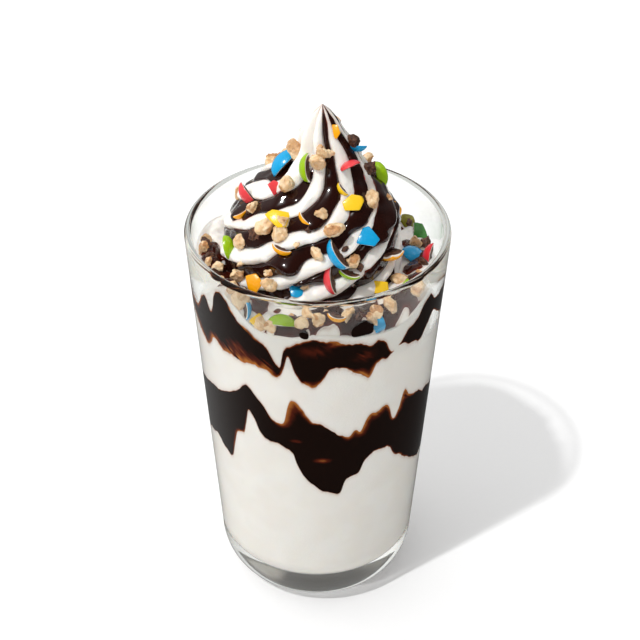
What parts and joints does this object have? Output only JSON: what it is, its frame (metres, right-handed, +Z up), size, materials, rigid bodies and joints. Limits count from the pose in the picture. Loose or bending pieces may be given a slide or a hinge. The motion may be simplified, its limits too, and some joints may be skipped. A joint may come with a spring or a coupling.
{
  "type": "soft-serve ice cream dessert in a glass",
  "caption": "Layered soft-serve ice cream and chocolate sauce in a pint tumbler, with a fluted swirl strewn with chopped nuts and candy pieces.",
  "frame": {"origin": "middle of the glass's underside, on the surface it stands on", "axes": "+Z up the glass's axis to the swirl's peak, -Y towards the side the picture shows as the front, +X to its right"},
  "size_m": [0.09, 0.09, 0.196],
  "materials": {
    "glass": "clear polished glass",
    "ice_cream": "satin white soft serve",
    "sauce": "wet glossy chocolate sauce",
    "peanut": "dry chopped roasted peanut",
    "candy": "smooth sugar shell in several colours over white sugar and dark chocolate"
  },
  "bodies": {
    "root": {"glass": "glass", "lower_ice_cream": "ice_cream", "lower_sauce": "sauce", "upper_ice_cream": "ice_cream", "upper_sauce": "sauce", "swirl": "ice_cream"}
  },
  "joints": []
}
